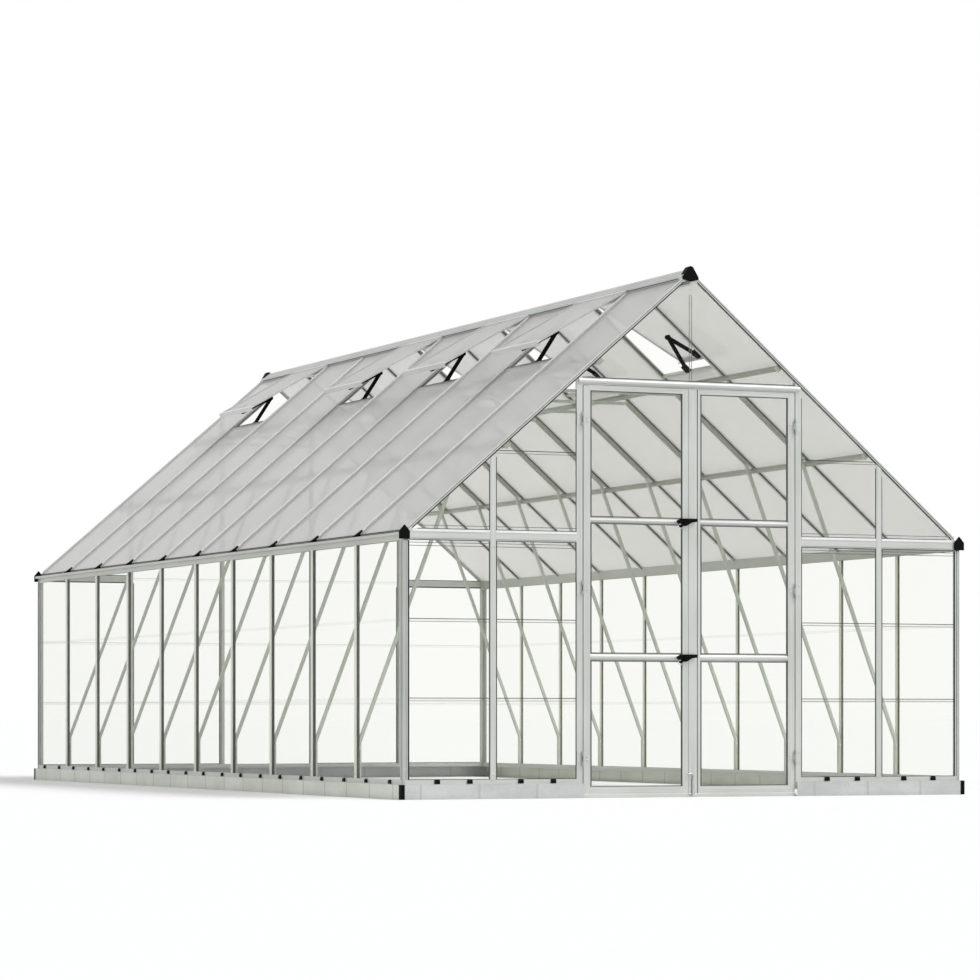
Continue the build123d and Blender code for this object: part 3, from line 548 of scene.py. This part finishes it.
# Along the clear strips: level and upright ones of the front gable, and those of the back gable
level_width = 0.1
strip_dark, strip_grey, strip_side = 0.0035, 0.0025, 0.003
strip_short = 0.03
rear_line, rear_proud = 0.001, 0.0006
for low, high in solids("gable_strips"):
    face = -low[1]
    if low[1] < 0 and high[0] - low[0] > level_width:
        z0, z1 = low[2], high[2]
        on_gable(dark_seal_and_shade_lines, FRONT_END, low[0], high[0], z1 - strip_dark, z1, FINE_PROUD, face)
        on_gable(grey_shade_lines, FRONT_END, low[0], high[0], z0, z0 + strip_grey, FINE_PROUD, face)
    elif low[1] < 0:
        z0, z1 = low[2], high[2] - strip_short
        on_gable(grey_shade_lines, FRONT_END, low[0], low[0] + strip_side, z0, z1, FINE_PROUD, face)
        on_gable(grey_shade_lines, FRONT_END, high[0] - strip_side, high[0], z0, z1, FINE_PROUD, face)
    else:
        z1 = high[2]
        on_gable(grey_shade_lines, BACK_END, low[0], high[0], z1 - rear_line, z1, rear_proud, high[1])

# On the sides of the corner posts, by as much as on the edge rafters below
bar_proud = 0.0014
side_line = (0.021, 0.015)
for side in SIDES:
    for end in ENDS:
        x0, x1 = span(side, wall_x, wall_x + bar_proud)
        y0, y1 = span(end, wall_y - side_line[0], wall_y - side_line[1])
        bar(dark_seal_and_shade_lines, (x0, y0, sill_top), (x1, y1, eave_low))

# Roof slopes, from the peak of the roof sheets
roof_rise, roof_run = 1.296, 1.510
peak = 2.553
edge_reach = 1.480
pitch = atan2(roof_rise, roof_run)
foot = edge_reach / cos(pitch)


def on_slope(s, d, side):
    """Point s down a slope from the ridge and d above the roof sheets."""
    return side * (s * cos(pitch) + d * sin(pitch)), peak - s * sin(pitch) + d * cos(pitch)


def slope_strip(mesh, side, run, levels, ends):
    """Adds a straight strip in a roof slope, by its run down it, its levels above it and its ends in y."""
    (s0, s1), (d0, d1) = run, levels
    corners = [on_slope(s, d, side) for s, d in ((s0, d0), (s1, d0), (s1, d1), (s0, d1))]
    faces = [[mesh.verts.new((x, y, z)) for x, z in corners] for y in ends]
    mesh.faces.new(faces[0])
    mesh.faces.new(list(reversed(faces[1])))
    for k in range(4):
        n = (k + 1) % 4
        mesh.faces.new((faces[0][k], faces[1][k], faces[1][n], faces[0][n]))


# Trim of the slopes, as runs down them, levels above the roof sheets and places beside a rafter's line.
# Dark lines of painted shade run along the edge rafters and under the rafters; the dark line under the
# sheet ends at the eaves is partly a sheet-end seal and partly painted shadow; the pale rib caps carry a
# painted highlight, and the grey strip at the foot of each rib is its painted shadow.
end_dark_run, end_dark_levels = (0.06, foot - 0.012), (-0.016, -0.0105)
end_grey_run, end_grey_levels = (0.06, foot - 0.004), (-0.004, -0.0015)
under_run, under_levels = (0.07, foot - 0.01), (-0.0085, -0.0062)
under_lines = ((-0.0098, -0.0062), (0.0028, 0.0050))
cap_run, cap_levels, cap_line = (0.075, foot - 0.012), (0.0012, 0.0096), (-0.0034, 0.0034)
cover_levels, cover_line = (0.0012, 0.0026), (-0.0126, 0.0126)
rib_run, rib_levels, rib_line = (0.075, foot - 0.030), (0.0014, 0.0032), (-0.0072, -0.0036)
eave_run, eave_levels = (foot + 0.0108, foot + 0.0135), (-0.011, -0.001)
vent_run, vent_levels, vent_short = (0.5845, 0.5885), (0.003, 0.0045), 0.012

# Plates at the ends of the purlins, just inside the gable sheets
purlin_places = (0.660, 1.302)
plate_half, plate_levels = 0.017, (-0.040, -0.0165)
plate_sunk = (0.006, 0.0042)

# Line along each side of the ridge, by its places in x and z and its end in y
ridge_line_x, ridge_line_z, ridge_line_end = (0.0442, 0.0458), (2.5205, 2.5255), 2.965

rib_highlight_caps = bmesh.new()
rafter_covers = bmesh.new()
end_plates = bmesh.new()


def beside(y, line):
    """Ends of a strip that runs beside a rafter's line."""
    return y + line[0], y + line[1]


for side in SIDES:
    for end in ENDS:
        ends = span(end, wall_y, wall_y + bar_proud)
        slope_strip(dark_seal_and_shade_lines, side, end_dark_run, end_dark_levels, ends)
        slope_strip(grey_shade_lines, side, end_grey_run, end_grey_levels, ends)
        ends = span(end, gable_out - plate_sunk[0], gable_out - plate_sunk[1])
        for s in purlin_places:
            slope_strip(end_plates, side, (s - plate_half, s + plate_half), plate_levels, ends)
    for y in post_lines:
        for line in under_lines:
            slope_strip(dark_seal_and_shade_lines, side, under_run, under_levels, beside(y, line))
        slope_strip(rib_highlight_caps, side, cap_run, cap_levels, beside(y, cap_line))
        slope_strip(rafter_covers, side, cap_run, cover_levels, beside(y, cover_line))
        slope_strip(grey_shade_lines, side, rib_run, rib_levels, beside(y, rib_line))
    slope_strip(dark_seal_and_shade_lines, side, eave_run, eave_levels, (-gable_out, gable_out))
    x0, x1 = span(side, *ridge_line_x)
    z0, z1 = ridge_line_z
    bar(grey_shade_lines, (x0, -ridge_line_end, z0), (x1, ridge_line_end, z1))
for low, high in solids("vent_sills"):
    ends = (low[1] + vent_short, high[1] - vent_short)
    slope_strip(grey_shade_lines, sign_of(low[0]), vent_run, vent_levels, ends)

# Pale beads along the gable rails that paint a highlight on them, with a grey line of painted shade below
# and dark lines on the inner side of the back ones
outer_rail, bead_end = 1.4, 1.462
bead_drops, bead_proud = (0.012, 0.002), 0.003
bead_line = (0.004, 0.006)
inner_low, inner_high = 0.007, 0.004
rail_highlight_beads = bmesh.new()
for low, high in solids("gable_rails"):
    end = sign_of(low[1])
    x0, x1 = sorted((low[0], high[0]), key=abs)
    reach_x = x1 if abs(x1) < outer_rail else sign_of(x1) * bead_end
    z0, z1 = [rail_high - drop for drop in bead_drops]
    on_gable(rail_highlight_beads, end, x0, reach_x, z0, z1, bead_proud, wall_y)
    z0, z1 = [rail_low + lift for lift in bead_line]
    on_gable(grey_shade_lines, end, x0, reach_x, z0, z1, FINE_PROUD, wall_y)
    if end == BACK_END:
        for z0, z1 in ((rail_low, rail_low + inner_low), (rail_high - inner_high, rail_high)):
            bar(dark_seal_and_shade_lines, (low[0], low[1] - FINE_PROUD, z0), (high[0], low[1], z1))
fitting("gable_rail_highlight_beads", rail_highlight_beads, "frame", highlight_bar)
fitting("dark_seals_and_painted_shade", dark_seal_and_shade_lines, "frame", seal_and_shade_dark)
fitting("grey_painted_shade", grey_shade_lines, "frame", grey_shade_dark)
fitting("rafter_rib_highlight_caps", rib_highlight_caps, "frame", highlight_bar)
fitting("rafter_covers", rafter_covers, "frame", roof_bar)
fitting("purlin_end_plates", end_plates, "frame", truss_tube)


def pane_rubber(door):
    """Rubber round both faces of each pane of a door, set in from the left stile."""
    mesh = bmesh.new()
    set_in, ease = 0.004, 0.0005
    wide, narrow, level_wide, proud, low_proud = 0.005, 0.003, 0.004, 0.005, 0.002
    for low, high in solids(door + "_door_panes"):
        x0, x1 = low[0] + set_in, high[0]
        z0, z1 = low[2], high[2]
        for face, out in ((low[1], -1), (high[1], 1)):
            y0, y1 = sorted((face, face + out * proud))
            bar(mesh, (x0, y0, z0), (x0 + wide, y1, z1), ease)
            y0, y1 = sorted((face, face + out * low_proud))
            bar(mesh, (x1 - narrow, y0, z0), (x1, y1, z1), ease)
            bar(mesh, (x0 + wide, y0, z0), (x1 - narrow, y1, z0 + level_wide), ease)
            bar(mesh, (x0 + wide, y0, z1 - level_wide), (x1 - narrow, y1, z1), ease)
    fitting(door + "_door_rubber", mesh, door + "_door", door_rubber)


pane_rubber("left")
pane_rubber("right")

# Screws: domed heads on a small washer, as pairs of radius and height
HEAD = [(0.0046, 0.0), (0.0046, 0.0007), (0.0037, 0.0008), (0.0033, 0.0018), (0.0020, 0.0026),
        (0.0008, 0.0028)]


def outward(at, turn):
    """Seat of a screw whose head faces out of a wall."""
    return seat(at, turn, pi / 2)


def part_way(low, high, share):
    """Height at a share of a box."""
    return low[2] + share * (high[2] - low[2])


# Screws of the frame: on the wall posts, the eaves, the gable studs and the corner posts
screw_margin = 0.02
eave_screw_lift, rail_screw_drop = 0.012, 0.03
corner_screws = (1.00, 1.04, sill_top + 0.05)
corner_share = 0.45
post_out = max(high[0] for low, high in post_boxes)
frame_screws = bmesh.new()
for y in post_lines:
    for side, turn in ((1, RIGHT), (-1, LEFT)):
        for z in (sill_top + screw_margin, eave_low - screw_margin):
            turned(frame_screws, HEAD, outward((side * post_out, y, z), turn))
        turned(frame_screws, HEAD, outward((side * wall_x, y, eave_low + eave_screw_lift), turn))
stud_front = max(abs(low[1]) for low, high in stud_boxes)
for marks, face, turn in ((front_studs, -stud_front, FRONT), (back_studs, stud_front, BACK)):
    for x in marks:
        for z in (sill_top + screw_margin, rail_low - rail_screw_drop):
            turned(frame_screws, HEAD, outward((x, face, z), turn))
half_corner = (wall_x - corner_in) / 2
for side in SIDES:
    x = side * (wall_x - half_corner * corner_share)
    for face, turn in ((-wall_y, FRONT), (wall_y, BACK)):
        for z in corner_screws:
            turned(frame_screws, HEAD, outward((x, face, z), turn))
fitting("frame_screws", frame_screws, "frame", zinc, True)

# Screws of the hinges: on the jambs and on the leaves
plate_thick = 0.002
jamb_inset, leaf_inset = 0.012, 0.010
jamb_shares, leaf_shares = (0.15, 0.85), (0.25, 0.75)
jamb_screws = bmesh.new()
for low, high in solids("hinge_pins"):
    x = high[0] - jamb_inset if high[0] > 0 else low[0] + jamb_inset
    for share in jamb_shares:
        at = (x, high[1] - plate_thick, part_way(low, high, share))
        turned(jamb_screws, HEAD, outward(at, FRONT))
fitting("jamb_screws", jamb_screws, "frame", zinc, True)

for door in ("left", "right"):
    leaf_screws = bmesh.new()
    for low, high in solids(door + "_hinge_barrels"):
        x = low[0] + leaf_inset if door == "right" else high[0] - leaf_inset
        for share in leaf_shares:
            at = (x, high[1] - plate_thick, part_way(low, high, share))
            turned(leaf_screws, HEAD, outward(at, FRONT))
    fitting(door + "_leaf_screws", leaf_screws, door + "_door", zinc, True)

# Six-sided bolts through the feet of the braces
BOLT = [(0.0052, 0.0), (0.0052, 0.0030), (0.0040, 0.0036)]
bolt_sides = 6
bolt_drop = 0.03
foot_bolts = bmesh.new()
for low, high in solids("brace_feet"):
    at = ((low[0] + high[0]) / 2, low[1], high[2] - bolt_drop)
    turned(foot_bolts, BOLT, outward(at, FRONT), bolt_sides)
fitting("foot_bolts", foot_bolts, "frame", zinc)

# Ribs drawn along the ridge
rib_shape = [(-0.003, -0.001), (0.003, -0.001), (0.002, 0.002), (-0.002, 0.002)]
ridge_shares = (0.30, 0.62, 0.94)
ridge_short = 0.09
ridge_tilt = 0.709
sheet_run = 1.4865
ridge_low, ridge_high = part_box("ridge_beam")
fall = (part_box("left_roof_sheets")[1][2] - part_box("left_roof_sheets")[0][2]) / sheet_run
ridge_run = ridge_high[1] - ridge_low[1] - ridge_short
ridge_ribs = bmesh.new()
for share in ridge_shares:
    for side in SIDES:
        x = side * share * ridge_high[0]
        at = Matrix.Translation((x, 0, ridge_high[2] - abs(x) * fall))
        tilt = Matrix.Rotation(side * ridge_tilt, 4, "Y")
        drawn(ridge_ribs, rib_shape, ridge_run, at @ tilt @ Matrix.Rotation(pi / 2, 4, "Z"))
fitting("ridge_ribs", ridge_ribs, "frame", length_bar)

# Ribs on the two outer faces of the corner posts
rib_insets = (0.004, 0.0115)
rib_half, rib_proud, rib_ease = 0.0016, 0.0022, 0.0006
post_ribs = bmesh.new()
for low, high in solids("corner_posts"):
    side, end = sign_of(low[0]), sign_of(low[1])
    for inset in rib_insets:
        x = side * (wall_x - inset)
        y0, y1 = span(end, wall_y, wall_y + rib_proud)
        bar(post_ribs, (x - rib_half, y0, low[2]), (x + rib_half, y1, high[2]), rib_ease)
        y = end * (wall_y - inset)
        x0, x1 = span(side, wall_x, wall_x + rib_proud)
        bar(post_ribs, (x0, y - rib_half, low[2]), (x1, y + rib_half, high[2]), rib_ease)
fitting("corner_post_ribs", post_ribs, "frame", upright_bar)

# Ribs along the threshold
step_shares = (0.12, 0.26, 0.40)
step_short = 0.01
step_low, step_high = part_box("door_threshold")
step_ribs = bmesh.new()
for share in step_shares:
    y = step_low[1] + share * (step_high[1] - step_low[1])
    drawn(step_ribs, rib_shape, step_high[0] - step_low[0] - step_short, seat((0, y, step_high[2])))
fitting("threshold_ribs", step_ribs, "frame", cross_bar)

# Pivots at the elbows of the vent stays, on both sides of the two arms
PIVOT = [(0.0125, 0.0), (0.0125, 0.0040), (0.0095, 0.0060), (0.0022, 0.0066)]
elbow_inset = 0.010
arm_thick = 0.007
pivots = bmesh.new()
for low, high in solids("vent_lower_arms"):
    x = low[0] + elbow_inset if low[0] > 0 else high[0] - elbow_inset
    z = high[2] - elbow_inset
    turned(pivots, PIVOT, outward((x, low[1], z), FRONT))
    turned(pivots, PIVOT, outward((x, high[1] + arm_thick, z), BACK))
fitting("stay_pivots", pivots, "frame", black, True)


def wire_ring(mesh, at, radius, wire):
    """Adds a ring of round wire that hangs in the plane of the doors."""
    steps, sides = 28, 8
    rows = []
    for k in range(steps):
        turn = 2 * pi * k / steps
        row = []
        for n in range(sides):
            swell = 2 * pi * n / sides
            reach = radius + wire * cos(swell)
            x, y, z = at[0] + reach * cos(turn), at[1] + wire * sin(swell), at[2] + reach * sin(turn)
            row.append(mesh.verts.new((x, y, z)))
        rows.append(row)
    for k in range(steps):
        after = rows[(k + 1) % steps]
        for n in range(sides):
            m = (n + 1) % sides
            mesh.faces.new((rows[k][n], after[n], after[m], rows[k][m]))


# Rings on the tails of the latch levers
ring_inset, ring_deep, ring_lift = 0.014, 0.004, 0.004
ring_radius, ring_wire = 0.011, 0.0018
for level in ("upper", "lower"):
    low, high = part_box(level + "_latch_lever")
    ring = bmesh.new()
    at = (low[0] + ring_inset, low[1] + ring_deep, low[2] + ring_lift)
    wire_ring(ring, at, ring_radius, ring_wire)
    fitting(level + "_latch_ring", ring, level + "_latch", zinc, True)

# Hooked handle of the drop bolt, by its points from the middle of the bolt's top
hook_wire = 0.004
hook_route = ((0.0, 0.0, -0.006), (0.0, 0.0, 0.012), (-0.014, -0.004, 0.022), (-0.034, -0.004, 0.018))
bolt_low, bolt_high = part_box("drop_bolt")
bolt_x, bolt_y = (bolt_low[0] + bolt_high[0]) / 2, (bolt_low[1] + bolt_high[1]) / 2
hook = bpy.data.curves.new("bolt_hook", "CURVE")
hook.dimensions = "3D"
hook.bevel_depth = hook_wire
hook.bevel_resolution = 3
hook.use_fill_caps = True
spline = hook.splines.new("BEZIER")
spline.bezier_points.add(len(hook_route) - 1)
for knot, (x, y, z) in zip(spline.bezier_points, hook_route):
    knot.co = (bolt_x + x, bolt_y + y, bolt_high[2] + z)
    knot.handle_left_type = knot.handle_right_type = "AUTO"
hook.materials.append(zinc)
hook_piece = bpy.data.objects.new("bolt_hook", hook)
bpy.context.collection.objects.link(hook_piece)
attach(hook_piece, "left_door")

# Studio: a white floor that keeps the shadow, a pale sky and one broad soft lamp
WHITE = rgb(1, 1, 1)
world = Finish("studio_sky", bpy.data.worlds.new("studio_sky"))
bpy.context.scene.world = world.material
light = world.node("ShaderNodeBackground", None, {"Color": rgb(0.98, 0.99, 1.0), "Strength": 0.47})
white = world.node("ShaderNodeBackground", None, {"Color": WHITE, "Strength": 1.0})
world.finish(world.blend(world.seen(), light, white))

floor_look = Finish("studio_floor")
paint = floor_look.node("ShaderNodeBsdfDiffuse", None, {"Color": rgb(0.9, 0.9, 0.9)})
unlit = floor_look.node("ShaderNodeEmission", None, {"Color": WHITE, "Strength": 0.0})
lift = floor_look.node("ShaderNodeEmission", None, {"Color": WHITE, "Strength": 0.145})
glow = floor_look.blend(floor_look.seen(), unlit, lift)
floor_paint = floor_look.finish(floor_look.node("ShaderNodeAddShader", None, {0: paint, 1: glow}))

floor_reach = 400.0
floor_drop = 0.0006
floor_corners = [(floor_reach * x, floor_reach * y, 0) for x, y in ((-1, -1), (1, -1), (1, 1), (-1, 1))]
floor_mesh = bpy.data.meshes.new("floor")
floor_mesh.from_pydata(floor_corners, [], [(0, 1, 2, 3)])
floor_mesh.materials.append(floor_paint)
floor = bpy.data.objects.new("floor", floor_mesh)
floor.location.z = -floor_drop
bpy.context.collection.objects.link(floor)

lamp_aim = Vector((-0.42, 0.46, -0.80))
sun = bpy.data.objects.new("soft_lamp", bpy.data.lights.new("soft_lamp", "SUN"))
sun.data.energy = 1.9
sun.data.angle = radians(24)
sun.rotation_euler = lamp_aim.to_track_quat("-Z", "Y").to_euler()
bpy.context.collection.objects.link(sun)

# Camera solved from the photograph: level, turned to the right, with its frame raised
photo_side = 980
focal_pixels = 3668.9
horizon_pixel = 716.838
film = 36.0
eye = (-7.9975, -18.9959, 0.3898)
turn_right = 0.4093
camera = bpy.data.objects.new("camera", bpy.data.cameras.new("camera"))
camera.data.sensor_width = film
camera.data.lens = film * focal_pixels / photo_side
camera.data.shift_y = (horizon_pixel - photo_side / 2) / photo_side
camera.data.clip_end = 2000.0
camera.location = eye
camera.rotation_euler = (radians(90), 0, -turn_right)
bpy.context.collection.objects.link(camera)
bpy.context.scene.camera = camera
bpy.context.scene.view_settings.view_transform = "Standard"
bpy.context.scene.cycles.transparent_max_bounces = 32
